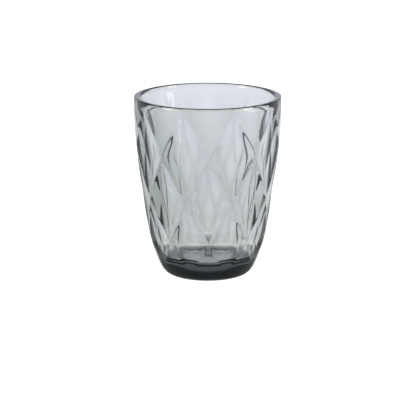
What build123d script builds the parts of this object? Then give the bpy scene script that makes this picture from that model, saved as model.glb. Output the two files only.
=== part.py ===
"""Pressed-glass whiskey tumbler, one piece of glass.

Millimetres, +Z up, origin at the centre of the foot's flat face.
A barrel-shaped wall carries three staggered rows of tall diamond facets below a plain rim band.
Every facet is a shallow hollow, and narrow lands of the barrel stay between the facets as ridges.
"""
import os
from math import cos, hypot, pi, prod, radians, sin, sqrt

from build123d import *

# ---------------------------------------------------------------- outside of the glass
height = 100.0            # foot to the top of the lip
rim_diameter = 81.0       # plain band under the lip
rim_band = 8.0            # height of glass with straight sides, lip included
rim_wall = 3.2            # thickness of the wall at the lip
foot_diameter = 38.0      # flat face that the glass stands on
heel_diameter = 54.0      # outside where the rounded heel runs into the wall
heel_height = 7.0         # height of the rounded heel
heel_round = 4.5          # how far the heel curve follows the foot and the wall
flare_angle = 26.0        # wall against the vertical at the top of the heel, degrees
flare_run = 21.7          # how far the wall keeps that slope
shoulder_run = 17.3       # how far the wall stays upright below the band

# ---------------------------------------------------------------- hollow
base_thickness = 9.3      # glass under the middle of the hollow, whose floor is crowned a little
floor_diameter = 6.0      # flat middle of the hollow's floor
bowl_diameter = 47.0      # hollow where its rounded floor runs into the wall
bowl_height = 3.1         # rise of the rounded floor
bowl_angle = 42.0         # hollow's wall against the vertical at that height, degrees
floor_run = 1.8           # how far the floor curve stays level
corner_run = 6.5          # how far it keeps the wall's slope
wall_run = 5.0           # how far the hollow's wall keeps that slope
upright_run = 2.0        # how far the hollow's wall stays upright below the lip

# ---------------------------------------------------------------- diamond facets
diamonds_around = 9
crown_points = 96.5       # heights of the lattice's crossing points, top to bottom
upper_points = 71.5
middle_points = 46.0
lower_points = 23.5
foot_points = 7.0
facet_depth = 2.5         # middle of a facet below the barrel
ridge_width = 2.0         # land of the barrel left between two facets
facet_steps = 16          # steps of the facet's surface along each side of the diamond
overcut = 1.06            # how far the cutter's surface runs on past the facet, as a factor
cutter_depth = 8.0

rim_radius = rim_diameter / 2
cup_rim_radius = rim_radius - rim_wall
lip_height = height - rim_wall / 2
half_pitch = pi / diamonds_around


def heading(start, angle, run):
    """Point that lies run from start, at the angle from the vertical."""
    return (start[0] + run * sin(radians(angle)), start[1] + run * cos(radians(angle)))


foot_edge = (foot_diameter / 2, 0)
heel = (heel_diameter / 2, heel_height)
band_start = (rim_radius, height - rim_band)
heel_curve = (foot_edge, (foot_edge[0] + heel_round, 0), heading(heel, flare_angle, -heel_round), heel)
wall_curve = (heel, heading(heel, flare_angle, flare_run),
              (rim_radius, band_start[1] - shoulder_run), band_start)


def glass_radius(z):
    """Outer radius of the uncut glass at height z."""
    if z >= band_start[1]:
        return rim_radius
    curve = heel_curve if z < heel_height else wall_curve
    low, high = 0.0, 1.0
    for _ in range(40):
        t = (low + high) / 2
        share = ((1 - t) ** 3, 3 * t * (1 - t) ** 2, 3 * t * t * (1 - t), t ** 3)
        radius = sum(s * point[0] for s, point in zip(share, curve))
        if sum(s * point[1] for s, point in zip(share, curve)) < z:
            low = t
        else:
            high = t
    return radius


def lattice_height(rows):
    """Height of the lattice so many rows below its crown points: one smooth curve through all
    the crossing heights, so that a ridge bends gently and has no corners."""
    return sum(point * prod((rows - other) / (place - other) for other in range(len(crossings)) if other != place)
               for place, point in enumerate(crossings))


def facet_point(row, along, across):
    """Point of a facet's surface; along and across run from -1 to 1 between its four ridges."""
    middle_radius = glass_radius(crossings[row])
    width = 2 * middle_radius * half_pitch
    length = crossings[row - 1] - crossings[row + 1]
    clear = ridge_width * hypot(width, length) / (2 * width * length)
    a, b = along * (0.5 - clear), across * (0.5 - clear)
    z = lattice_height(row + a + b)
    inside = 1 - along ** 2, 1 - across ** 2
    hollow = (sum(inside) - hypot(*inside)) / (2 - sqrt(2))
    radius = glass_radius(z) - facet_depth * hollow
    return (radius * cos((a - b) * half_pitch), radius * sin((a - b) * half_pitch), z)


crossings = (crown_points, upper_points, middle_points, lower_points, foot_points)
floor_edge = (floor_diameter / 2, base_thickness)
bowl = (bowl_diameter / 2, base_thickness + bowl_height)
cup_lip = (cup_rim_radius, lip_height)

with BuildPart() as tumbler:
    # outside, a solid of revolution with a fully rounded lip
    with BuildSketch(Plane.left):
        with BuildLine():
            Line((0, 0), foot_edge)
            Bezier(*heel_curve)
            Bezier(*wall_curve)
            Line(band_start, (rim_radius, lip_height))
            ThreePointArc((rim_radius, lip_height), (rim_radius - rim_wall / 2, height), cup_lip)
            Line(cup_lip, (0, lip_height))
            Line((0, lip_height), (0, 0))
        make_face()
    revolve(axis=Axis.Z)

    # facets: three staggered rows between the crossing points
    paces = [overcut * (2 * step / facet_steps - 1) for step in range(facet_steps + 1)]
    for row in (1, 2, 3):
        skin = Face.make_surface_from_array_of_points(
            [[Vector(*facet_point(row, along, across)) for across in paces] for along in paces])
        with BuildPart(mode=Mode.PRIVATE) as cutter:
            extrude(skin, amount=cutter_depth, dir=(1, 0, 0))
        with PolarLocations(0, diamonds_around, start_angle=180 / diamonds_around * (row % 2) - 90):
            add(cutter.part, mode=Mode.SUBTRACT)

    # hollow
    with BuildSketch(Plane.left):
        with BuildLine():
            Line((0, base_thickness), floor_edge)
            Bezier(floor_edge, (floor_edge[0] + floor_run, base_thickness),
                   heading(bowl, bowl_angle, -corner_run), bowl)
            Bezier(bowl, heading(bowl, bowl_angle, wall_run),
                   (cup_rim_radius, lip_height - upright_run), cup_lip)
            Line(cup_lip, (0, lip_height))
            Line((0, lip_height), (0, base_thickness))
        make_face()
    revolve(axis=Axis.Z, mode=Mode.SUBTRACT)

tumbler.part.label = "tumbler"

os.makedirs("parts", exist_ok=True)
export_step(tumbler.part, "parts/tumbler.step")
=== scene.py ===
"""Smoke-grey pressed-glass tumbler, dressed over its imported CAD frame."""
from math import cos, pi, radians, sin

import bpy
import numpy as np
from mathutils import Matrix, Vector


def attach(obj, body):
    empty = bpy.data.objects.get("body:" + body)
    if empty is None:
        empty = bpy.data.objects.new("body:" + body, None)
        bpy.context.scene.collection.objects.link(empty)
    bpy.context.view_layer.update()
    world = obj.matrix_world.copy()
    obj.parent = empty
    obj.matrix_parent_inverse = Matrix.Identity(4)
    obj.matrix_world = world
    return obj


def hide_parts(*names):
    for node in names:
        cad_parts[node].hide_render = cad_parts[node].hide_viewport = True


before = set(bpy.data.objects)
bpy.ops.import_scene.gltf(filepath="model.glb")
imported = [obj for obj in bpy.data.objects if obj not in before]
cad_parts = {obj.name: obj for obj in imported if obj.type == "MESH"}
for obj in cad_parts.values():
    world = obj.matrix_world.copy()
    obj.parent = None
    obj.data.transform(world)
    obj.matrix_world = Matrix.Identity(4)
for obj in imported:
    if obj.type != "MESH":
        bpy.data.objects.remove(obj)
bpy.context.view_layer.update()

MM = 0.001
HEIGHT = 100.0                              # mm from the foot to the top of the lip
MIDDLE = Vector((0, 0, HEIGHT / 2 * MM))    # what the camera and the lamps are placed round


def toward(azimuth, elevation):
    """Unit vector away from the glass: azimuth in degrees from -Y towards +X, elevation in
    degrees over the floor."""
    turn, rise = radians(azimuth), radians(elevation)
    return Vector((sin(turn) * cos(rise), -cos(turn) * cos(rise), sin(rise)))


# ------------------------------------------------------------------ camera
# a 1.2 m stand-off, 13 degrees above the middle of the glass, a degree to its left
CAMERA_DISTANCE = 1.200
CAMERA_AZIMUTH, CAMERA_ELEVATION = -1.0, 13.0
FOCAL_PIXELS = 2163.5
GLASS_MIDDLE_X, GLASS_MIDDLE_Y = 207.5, 184.2
IMAGE_SIDE = 400                            # pixels
SENSOR_WIDTH = 36                           # mm
FAR_CLIP = 50                               # metres


def place_camera():
    """Camera on a sphere round the glass; the aim is turned so that the middle of the glass
    falls on its pixel."""
    data = bpy.data.cameras.new("Camera")
    camera = bpy.data.objects.new("Camera", data)
    bpy.context.collection.objects.link(camera)
    away = toward(CAMERA_AZIMUTH, CAMERA_ELEVATION)
    camera.location = MIDDLE + CAMERA_DISTANCE * away
    forward = -away
    right = forward.cross(Vector((0, 0, 1))).normalized()
    up = right.cross(forward)
    aim = (forward + right * (IMAGE_SIDE / 2 - GLASS_MIDDLE_X) / FOCAL_PIXELS
           + up * (GLASS_MIDDLE_Y - IMAGE_SIDE / 2) / FOCAL_PIXELS)
    camera.rotation_mode = "QUATERNION"
    camera.rotation_quaternion = aim.to_track_quat("-Z", "Y")
    data.sensor_width = SENSOR_WIDTH
    data.lens = FOCAL_PIXELS * data.sensor_width / IMAGE_SIDE
    data.clip_end = FAR_CLIP
    bpy.context.scene.camera = camera


# ------------------------------------------------------------------ colours and nodes
WHITE = (1, 1, 1, 1)
MIX_A, MIX_B, MIX_RESULT = 6, 7, 2          # colour sockets of a Mix node


def linear(code):
    """sRGB hex code to linear red, green, blue and 1, by the sRGB curve: a straight line near
    black and a power of 2.4 above it."""
    parts = np.array([int(code[i:i + 2], 16) for i in (1, 3, 5)]) / 255
    parts = np.where(parts <= 0.04045, parts / 12.92, ((parts + 0.055) / 1.055) ** 2.4)
    return (*parts.tolist(), 1.0)


def node(tree, kind, settings=None, links=None):
    """Adds a node, sets its fields and sockets from settings, and links the sockets in links.
    A socket is given by its name or its number."""
    made = tree.nodes.new(kind)
    for key, value in (settings or {}).items():
        if isinstance(key, int) or key in made.inputs:
            made.inputs[key].default_value = value
        else:
            setattr(made, key, value)
    for key, value in (links or {}).items():
        tree.links.new(value, made.inputs[key])
    return made


def ramp(tree, stops, fac):
    """Colour ramp with a stop for each pair of position and sRGB hex colour."""
    made = node(tree, "ShaderNodeValToRGB", links={"Fac": fac})
    elements = made.color_ramp.elements
    while len(elements) < len(stops):
        elements.new(0.5)
    for element, (position, code) in zip(elements, stops):
        element.position, element.color = position, linear(code)
    return made.outputs["Color"]


# ------------------------------------------------------------------ shape of the glass, mm
# a name that ends in RUN is how far a curve's handle reaches from the curve's end
RIM_RADIUS = 40.5
RIM_BAND = 8.0                              # straight glass under the lip
RIM_WALL = 3.2
LIP_RISE = 0.25                             # height of the rounded lip
FOOT_RADIUS = 19.0
HEEL = (27.0, 7.0)                          # radius and height where the heel runs into the wall
HEEL_ROUND = 4.5                            # reach of both handles of the heel's curve
FLARE = radians(26.0)                       # wall against the vertical above the heel
FLARE_RUN = 21.7
SHOULDER_RUN = 17.3

BASE = 9.3                                  # glass under the middle of the hollow
FLOOR_RADIUS = 3.0                          # flat middle of the hollow's floor
BOWL = (23.5, 12.4)                         # radius and height where the floor meets the wall
BOWL_SLOPE = radians(42.0)                  # the hollow's skin there, against the vertical
FLOOR_RUN = 3.5
CORNER_RUN = 3.5
WALL_RUN = 5.0
UPRIGHT_RUN = 2.0

AROUND = 9                                  # diamonds in a row
CROSSINGS = (96.5, 71.5, 46.0, 23.5, 7.0)   # heights of the lattice's crossing points
FACET_DEPTH = 2.5
FACET_BOWL = 0.65                           # under 1 flattens the middle of a facet
RIDGE_ROUNDING = 0.7                        # how far fire-polishing has softened the ridges
RUN_OUT = (8.0, 19.0)                       # heights between which the facets reach full depth

PITCH = 2 * pi / AROUND
BAND_START = (RIM_RADIUS, HEIGHT - RIM_BAND)
LIP_Z = HEIGHT - LIP_RISE
CUP_LIP = (RIM_RADIUS - RIM_WALL, LIP_Z)

# how finely the skin is laid out
HALF_STEPS = 24                             # grid steps in half a diamond, across and up
HEEL_ROWS, CUP_ROWS, FLOOR_ROWS = 30, 58, 25
HEEL_GAP = 0.1                              # least height between the heel's rows and the lattice
LIP_STEPS = 14
FOOT_RINGS = (0.05, 0.3, 0.6, 0.85)         # rings on the foot's flat face, shares of its radius
FLAT_RINGS = (0.64, 0.28, 0.06)             # and on the flat middle of the floor
LATTICE_READINGS = 801                      # heights at which the lattice's curve is worked out

# the finer grid on which the ridges are rounded
FINER = 4                                   # its columns to a column of the skin
FINE_STEP = 0.1                             # mm between its rows
WALL_RADIUS = 38.0                          # mean radius, for the distance between its columns
GAUSS_REACH = 4                             # the rounding is cut off at so many deviations


def cubic(p0, p1, p2, p3, steps):
    """Cubic Bezier curve: the four points weighed by the third-degree Bernstein terms."""
    t = np.linspace(0, 1, steps)[:, None]
    p0, p1, p2, p3 = (np.array(p, float) for p in (p0, p1, p2, p3))
    return (1 - t) ** 3 * p0 + 3 * t * (1 - t) ** 2 * p1 + 3 * t * t * (1 - t) * p2 + t ** 3 * p3


def step_off(point, angle, run):
    """The point moved by run along a line that leans outwards by angle from the vertical."""
    return (point[0] + run * sin(angle), point[1] + run * cos(angle))


HEEL_CURVE = cubic((FOOT_RADIUS, 0), (FOOT_RADIUS + HEEL_ROUND, 0),
                   step_off(HEEL, FLARE, -HEEL_ROUND), HEEL, steps=200)
WALL_CURVE = cubic(HEEL, step_off(HEEL, FLARE, FLARE_RUN),
                   (RIM_RADIUS, BAND_START[1] - SHOULDER_RUN), BAND_START, steps=600)
BARREL = np.concatenate([HEEL_CURVE, WALL_CURVE[1:], [(RIM_RADIUS, LIP_Z)]])


def barrel_radius(z):
    """Radius of the uncut barrel at height z, read between the points of its profile."""
    return np.interp(z, BARREL[:, 1], BARREL[:, 0])


def lattice_height(rows):
    """Height of the lattice so many rows below its crown points: the one smooth curve through
    all the crossing heights, as a sum of each height times its Lagrange polynomial."""
    total = 0.0
    for place, height in enumerate(CROSSINGS):
        others = [other for other in range(len(CROSSINGS)) if other != place]
        total = total + height * np.prod([(rows - other) / (place - other) for other in others], axis=0)
    return total


def facet_relief(angle, z):
    """Depth of the facets below the barrel, as a share of the full depth.
    The wall is a lattice of two families of slanting lines; a and b run from 0 to 1 between
    neighbouring lines of each family, and the share is (16 a (1-a) b (1-b)) to the power that
    sets how flat the hollow's middle is. Cells above the first and below the last row stay plain."""
    last = len(CROSSINGS) - 1
    rows = np.linspace(0, last, LATTICE_READINGS)
    t = np.interp(-z, -lattice_height(rows), rows)
    above = (CROSSINGS[0] - z) / (CROSSINGS[0] - CROSSINGS[1])
    below = last + (CROSSINGS[last] - z) / (CROSSINGS[last - 1] - CROSSINGS[last])
    t = np.where(z > CROSSINGS[0], above, t)
    t = np.where(z < CROSSINGS[last], below, t)
    u = angle / (PITCH / 2)
    first, second = (u + t - 1) / 2, (u - t - 1) / 2
    a, b = first % 1, second % 1
    row = np.floor(first) - np.floor(second)
    share = np.maximum(16 * a * (1 - a) * b * (1 - b), 0) ** FACET_BOWL
    return np.where((row > 0) & (row < last), share, 0)


def outer_wall(columns, heights):
    """Radius of the outside at each height and column: the barrel less the facets, whose depth
    grows evenly with the height over the RUN_OUT. The ridges are rounded by a Gaussian of
    RIDGE_ROUNDING mm along the wall: round the glass it multiplies the depth's spectrum, and up
    the wall it is a weighed sum. Worked out on the finer grid and read off at the wanted heights."""
    fine_columns = columns * FINER
    angle = np.arange(fine_columns) * 2 * pi / fine_columns
    z = np.arange(0, LIP_Z + FINE_STEP / 2, FINE_STEP)
    depth = FACET_DEPTH * facet_relief(angle[None, :], z[:, None])
    depth *= np.clip((z - RUN_OUT[0]) / (RUN_OUT[1] - RUN_OUT[0]), 0, 1)[:, None]
    pace = WALL_RADIUS * 2 * pi / fine_columns
    wave = np.fft.fftfreq(fine_columns, d=pace) * 2 * pi
    spectrum = np.fft.fft(depth, axis=1) * np.exp(-0.5 * (wave * RIDGE_ROUNDING) ** 2)
    depth = np.fft.ifft(spectrum, axis=1).real
    half = int(GAUSS_REACH * RIDGE_ROUNDING / FINE_STEP) + 1
    weight = np.exp(-0.5 * (np.arange(-half, half + 1) * FINE_STEP / RIDGE_ROUNDING) ** 2)
    weight /= weight.sum()
    padded = np.pad(depth, ((half, half), (0, 0)), mode="edge")
    depth = sum(w * padded[i:i + len(z)] for i, w in enumerate(weight))[:, ::FINER]
    place = np.clip(heights / FINE_STEP, 0, len(z) - 1)
    low = np.minimum(place.astype(int), len(z) - 2)
    share = (place - low)[:, None]
    return barrel_radius(heights)[:, None] - (depth[low] * (1 - share) + depth[low + 1] * share)


def along(curve, count):
    """Points at equal distances along a curve, ends included."""
    run = np.concatenate([[0], np.cumsum(np.hypot(*np.diff(curve, axis=0).T))])
    want = np.linspace(0, run[-1], count)
    return np.stack([np.interp(want, run, curve[:, k]) for k in (0, 1)], -1)


def tumbler_surface():
    """Closed skin of the glass on a grid: one way round, the other from the middle of the foot
    up the outside, over the half-oval lip and down the hollow to the middle of its floor. Between
    the crossing heights the rows follow the lattice, so that its ridges run along cell diagonals.
    Gives the grid and the middles of the foot and the floor, which close it."""
    columns = HALF_STEPS * 2 * AROUND
    angle = np.arange(columns) * 2 * pi / columns
    whole = np.ones(columns)
    foot_r = np.array(FOOT_RINGS) * FOOT_RADIUS

    heel_z = along(HEEL_CURVE, HEEL_ROWS)[:, 1]
    heel_z = heel_z[heel_z < CROSSINGS[-1] - HEEL_GAP]
    last = len(CROSSINGS) - 1
    lattice_z = lattice_height(np.linspace(last, 0, HALF_STEPS * last + 1))[:-1]
    heights = np.concatenate([heel_z, lattice_z, [CROSSINGS[0], LIP_Z]])
    wall = outer_wall(columns, heights)

    turn = np.linspace(0, pi, LIP_STEPS + 1)[1:-1]
    lip_r = RIM_RADIUS - RIM_WALL / 2 + RIM_WALL / 2 * np.cos(turn)
    lip_z = LIP_Z + LIP_RISE * np.sin(turn)

    cup = cubic(CUP_LIP, (CUP_LIP[0], LIP_Z - UPRIGHT_RUN),
                step_off(BOWL, BOWL_SLOPE, WALL_RUN), BOWL, steps=400)
    floor = cubic(BOWL, step_off(BOWL, BOWL_SLOPE, -CORNER_RUN),
                  (FLOOR_RADIUS + FLOOR_RUN, BASE), (FLOOR_RADIUS, BASE), steps=200)
    flat = np.array([(share * FLOOR_RADIUS, BASE) for share in FLAT_RINGS])
    inside = np.concatenate([along(cup, CUP_ROWS), along(floor, FLOOR_ROWS)[1:], flat])

    radius = np.concatenate([foot_r[:, None] * whole, wall,
                             lip_r[:, None] * whole, inside[:, :1] * whole])
    z = np.concatenate([0 * foot_r, heights, lip_z, inside[:, 1]])
    grid = np.stack([radius * np.sin(angle), -radius * np.cos(angle), z[:, None] * whole], -1)
    return grid, (0, 0, 0), (0, 0, BASE)


def closed_skin(name, grid, first_pole, last_pole):
    """Mesh from a grid that closes on itself round the columns, with a fan at each pole. Each
    cell is split along its higher diagonal, so that a slanting ridge stays one clean edge."""
    rows, columns = grid.shape[:2]
    points = np.concatenate([grid.reshape(-1, 3), [first_pole, last_pole]]) * MM
    index = np.arange(rows * columns).reshape(rows, columns)
    a, b = index[:-1], np.roll(index[:-1], -1, 1)
    d, c = index[1:], np.roll(index[1:], -1, 1)
    reach = np.hypot(grid[..., 0], grid[..., 1])
    rising = reach[:-1] + np.roll(reach[1:], -1, 1) > np.roll(reach[:-1], -1, 1) + reach[1:]
    one = np.where(rising[..., None], np.stack([a, b, c], -1), np.stack([a, b, d], -1))
    two = np.where(rising[..., None], np.stack([a, c, d], -1), np.stack([b, c, d], -1))
    low, high = rows * columns, rows * columns + 1
    ring, top = index[0], index[-1]
    fans = np.concatenate([np.stack([np.full(columns, low), np.roll(ring, -1), ring], -1),
                           np.stack([np.full(columns, high), top, np.roll(top, -1)], -1)])
    faces = np.concatenate([one.reshape(-1, 3), two.reshape(-1, 3), fans])
    mesh = bpy.data.meshes.new(name)
    mesh.vertices.add(len(points))
    mesh.vertices.foreach_set("co", points.ravel())
    mesh.loops.add(faces.size)
    mesh.loops.foreach_set("vertex_index", faces.ravel())
    mesh.polygons.add(len(faces))
    mesh.polygons.foreach_set("loop_start", np.arange(0, faces.size, 3))
    mesh.polygons.foreach_set("use_smooth", np.ones(len(faces), bool))
    mesh.update(calc_edges=True)
    mesh.validate()
    piece = bpy.data.objects.new(name, mesh)
    bpy.context.collection.objects.link(piece)
    return piece


# ------------------------------------------------------------------ materials
SODA_LIME_IOR = 1.52
LOSS = (50.4, 47.6, 47.4)                   # absorption per metre of glass: red, green, blue
WAVE_ACROSS, WAVE_UP = 7 * MM, 22 * MM      # size of the waviness
WAVE_DEPTH = 0.02 * MM
MOTTLE = 1.6 * MM                           # size of the mottle
MOTTLE_DEPTH = 0.002 * MM


def smoke_glass():
    """Soda-lime glass pressed in a steel mould and fire-polished: clear and glossy, with the grey
    in the glass itself, so thick parts such as the base and glancing edges turn dark. The skin
    keeps a slight waviness, drawn out upwards where the plunger left the hollow, and a finer
    mottle from the mould; both show only as small bends in what is seen through the glass."""
    material = bpy.data.materials.new("fire-polished smoke-grey glass")
    material.use_nodes = True
    tree = material.node_tree
    tree.nodes.clear()
    place = node(tree, "ShaderNodeTexCoord")
    drawn = node(tree, "ShaderNodeMapping", {"Scale": (1 / WAVE_ACROSS, 1 / WAVE_ACROSS, 1 / WAVE_UP)},
                 {"Vector": place.outputs["Object"]})
    wave = node(tree, "ShaderNodeTexNoise", {"Scale": 1.0, "Detail": 1.0},
                {"Vector": drawn.outputs["Vector"]})
    mottle = node(tree, "ShaderNodeTexNoise", {"Scale": 1 / MOTTLE, "Detail": 2.0},
                  {"Vector": place.outputs["Object"]})
    fine = node(tree, "ShaderNodeBump", {"Strength": 1.0, "Distance": MOTTLE_DEPTH},
                {"Height": mottle.outputs[0]})
    skin = node(tree, "ShaderNodeBump", {"Strength": 1.0, "Distance": WAVE_DEPTH},
                {"Height": wave.outputs[0], "Normal": fine.outputs["Normal"]})
    shader = node(tree, "ShaderNodeBsdfPrincipled", {
        "Base Color": WHITE, "Roughness": 0.0, "IOR": SODA_LIME_IOR, "Transmission Weight": 1.0},
        {"Normal": skin.outputs["Normal"]})
    density = 2 * max(LOSS)                 # the glass absorbs density times (1 - colour)
    body = node(tree, "ShaderNodeVolumeAbsorption", {
        "Color": (*(1 - loss / density for loss in LOSS), 1), "Density": density})
    node(tree, "ShaderNodeOutputMaterial", links={
        "Surface": shader.outputs["BSDF"], "Volume": body.outputs["Volume"]})
    return material


# ------------------------------------------------------------------ making
place_camera()

tumbler = closed_skin("pressed_glass_tumbler", *tumbler_surface())
tumbler.data.materials.append(smoke_glass())
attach(tumbler, "root")
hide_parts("tumbler")


# ------------------------------------------------------------------ stage and light, metres
# the room's tones, by the sine of the height over the horizon
ROOM_TONES = ((0.00, "#F1F2FD"), (0.24, "#F1F2FD"), (0.29, "#44454A"), (0.50, "#3A3B3E"),
              (0.80, "#B8BABE"), (1.00, "#C8CACE"))

BOARD_HALF = 3.0                            # half the board's side
BOARD_DROP = 0.0002                         # keeps the board's face just off the foot's
BOARD_GLOW = 1.15                           # strength of the board's own light
BOARD_ALBEDO = 0.12                         # share it reflects, which carries the faint shadow
# the board's painted shade and light, which the camera doesn't see, by the distance from the middle of
# the painted shadow, as a share of the span;
# it stands in for the glass's shadow with the light from behind, so the painted shade lies a little in
# front
BOARD_SPAN = 0.5
SHADE_MIDDLE = (0.0, -0.018, 0.0)
PAINTED_SHADE_TONES = ((0.00, "#7E8181"), (0.076, "#7E8181"), (0.09, "#B6BABA"), (0.11, "#FAFCFC"),
               (0.14, "#FAFCFC"), (0.18, "#E8EBEB"), (0.26, "#DFE2E2"), (0.34, "#EBEEEE"),
               (0.46, "#F0F3F6"), (0.60, "#ECEEF4"), (0.84, "#DFE0E9"), (1.00, "#DEDFE8"))
PAINTED_FOOT_LIGHT = "#CCD0D0"                       # painted pool of light under the foot, standing in for light that comes down the glass
FOOT_REACH, FOOT_BLEND = 0.021, 0.004       # how far out it ends, and its soft edge
# painted side light: the board is darker and greener to the left and lighter to the right, as if lit
# more from the right
PAINTED_LEFT_SHADE, PAINTED_RIGHT_LIGHT = "#D0D5D1", "#FFFEFF"
SIDE_REACH = 0.2                            # from the middle to the full painted side light and shade
SIDE_END, SIDE_FADE = 0.42, 0.14            # how far off the painted side light and shade end, and their fade

# name, azimuth and elevation in degrees, distance, width, height, radiance, and whether the
# lamp also shows through the glass, not only reflected in it
LAMPS = (("overhead softbox", 0, 88, 1.6, 1.0, 1.0, 3.0, False),
         ("left softbox", -65, 16, 1.6, 0.5, 0.5, 5.0, False),
         ("right softbox", 64, 16, 1.6, 0.5, 0.5, 5.0, False),
         ("catch light", 73, 4, 0.5, 0.20, 0.045, 4.5, True))


def white_room():
    """Surround: white for the camera. For the glass it is white up to 14 degrees over the
    horizon, with an unlit room above, which is what turns the thick base and the steep facets
    dark, and a grey ceiling overhead."""
    world = bpy.data.worlds.new("white backdrop in an unlit room")
    bpy.context.scene.world = world
    world.use_nodes = True
    tree = world.node_tree
    place = node(tree, "ShaderNodeTexCoord")
    axes = node(tree, "ShaderNodeSeparateXYZ", links={0: place.outputs["Generated"]})
    ray = node(tree, "ShaderNodeLightPath")
    shown = node(tree, "ShaderNodeMix", {"data_type": "RGBA", MIX_B: WHITE}, {
        "Factor": ray.outputs["Is Camera Ray"], MIX_A: ramp(tree, ROOM_TONES, axes.outputs["Z"])})
    tree.links.new(shown.outputs[MIX_RESULT], tree.nodes["Background"].inputs["Color"])


def white_board():
    """Floor: a matt white board that glows white for the camera and takes a faint shadow. For the glass
    its glow carries painted shade: grey round and in front of the foot, standing in for the glass's
    shadow, a painted pool of light right under the foot, a little blue far off, and painted side light,
    lighter on the right than on the left."""
    half = BOARD_HALF
    mesh = bpy.data.meshes.new("floor")
    mesh.from_pydata([(-half, -half, 0), (half, -half, 0), (half, half, 0), (-half, half, 0)],
                     [], [(0, 1, 2, 3)])
    floor = bpy.data.objects.new("floor", mesh)
    floor.location = (0, 0, -BOARD_DROP)
    bpy.context.collection.objects.link(floor)
    material = bpy.data.materials.new("matt white board")
    material.use_nodes = True
    tree = material.node_tree
    tree.nodes.clear()
    place = node(tree, "ShaderNodeTexCoord")
    reach = node(tree, "ShaderNodeVectorMath", {"operation": "LENGTH"}, {0: place.outputs["Object"]})
    # painted shadow: the board's glow turns grey round and in front of the foot, by the distance from
    # the middle of the painted shadow
    off = node(tree, "ShaderNodeVectorMath", {"operation": "DISTANCE", 1: SHADE_MIDDLE},
               {0: place.outputs["Object"]})
    span = node(tree, "ShaderNodeMath", {"operation": "DIVIDE", 1: BOARD_SPAN},
                {0: off.outputs["Value"]})
    # painted pool of light under the foot, laid over the painted shade
    foot = node(tree, "ShaderNodeMapRange", {
        "From Min": FOOT_REACH, "From Max": FOOT_REACH - FOOT_BLEND}, {"Value": reach.outputs["Value"]})
    near = node(tree, "ShaderNodeMix", {"data_type": "RGBA", MIX_B: linear(PAINTED_FOOT_LIGHT)}, {
        "Factor": foot.outputs["Result"], MIX_A: ramp(tree, PAINTED_SHADE_TONES, span.outputs["Value"])})
    axes = node(tree, "ShaderNodeSeparateXYZ", links={0: place.outputs["Object"]})
    # painted side light and shade, darker to the left and lighter to the right, faded out far off
    across = node(tree, "ShaderNodeMapRange", {
        "interpolation_type": "SMOOTHSTEP", "From Min": -SIDE_REACH, "From Max": SIDE_REACH},
        {"Value": axes.outputs["X"]})
    side = node(tree, "ShaderNodeMix", {
        "data_type": "RGBA", MIX_A: linear(PAINTED_LEFT_SHADE), MIX_B: linear(PAINTED_RIGHT_LIGHT)},
        {"Factor": across.outputs["Result"]})
    far = node(tree, "ShaderNodeMapRange", {
        "From Min": SIDE_END, "From Max": SIDE_END - SIDE_FADE}, {"Value": reach.outputs["Value"]})
    lit = node(tree, "ShaderNodeMix", {"data_type": "RGBA", "blend_type": "MULTIPLY"}, {
        "Factor": far.outputs["Result"],
        MIX_A: near.outputs[MIX_RESULT], MIX_B: side.outputs[MIX_RESULT]})
    ray = node(tree, "ShaderNodeLightPath")
    shown = node(tree, "ShaderNodeMix", {"data_type": "RGBA", MIX_B: WHITE}, {
        "Factor": ray.outputs["Is Camera Ray"], MIX_A: lit.outputs[MIX_RESULT]})
    glow = node(tree, "ShaderNodeEmission", {"Strength": BOARD_GLOW},
                {"Color": shown.outputs[MIX_RESULT]})
    matt = node(tree, "ShaderNodeBsdfDiffuse", {"Color": (BOARD_ALBEDO,) * 3 + (1,)})
    both = node(tree, "ShaderNodeAddShader", links={0: glow.outputs[0], 1: matt.outputs[0]})
    node(tree, "ShaderNodeOutputMaterial", links={"Surface": both.outputs[0]})
    mesh.materials.append(material)


def softbox(name, azimuth, elevation, distance, width, height, radiance, through):
    """Oval area lamp that faces the glass. Its power is the wanted radiance times pi times its
    area."""
    data = bpy.data.lights.new(name, "AREA")
    data.shape, data.size, data.size_y = "ELLIPSE", width, height
    data.energy = radiance * pi * (pi * width * height / 4)
    lamp = bpy.data.objects.new(name, data)
    away = toward(azimuth, elevation)
    lamp.location = MIDDLE + distance * away
    lamp.rotation_mode = "QUATERNION"
    lamp.rotation_quaternion = away.to_track_quat("Z", "Y")
    lamp.visible_camera = False
    lamp.visible_transmission = through
    bpy.context.collection.objects.link(lamp)


white_room()
white_board()
for lamp in LAMPS:
    softbox(*lamp)

bpy.context.scene.view_settings.view_transform = "Standard"

bpy.context.view_layer.update()
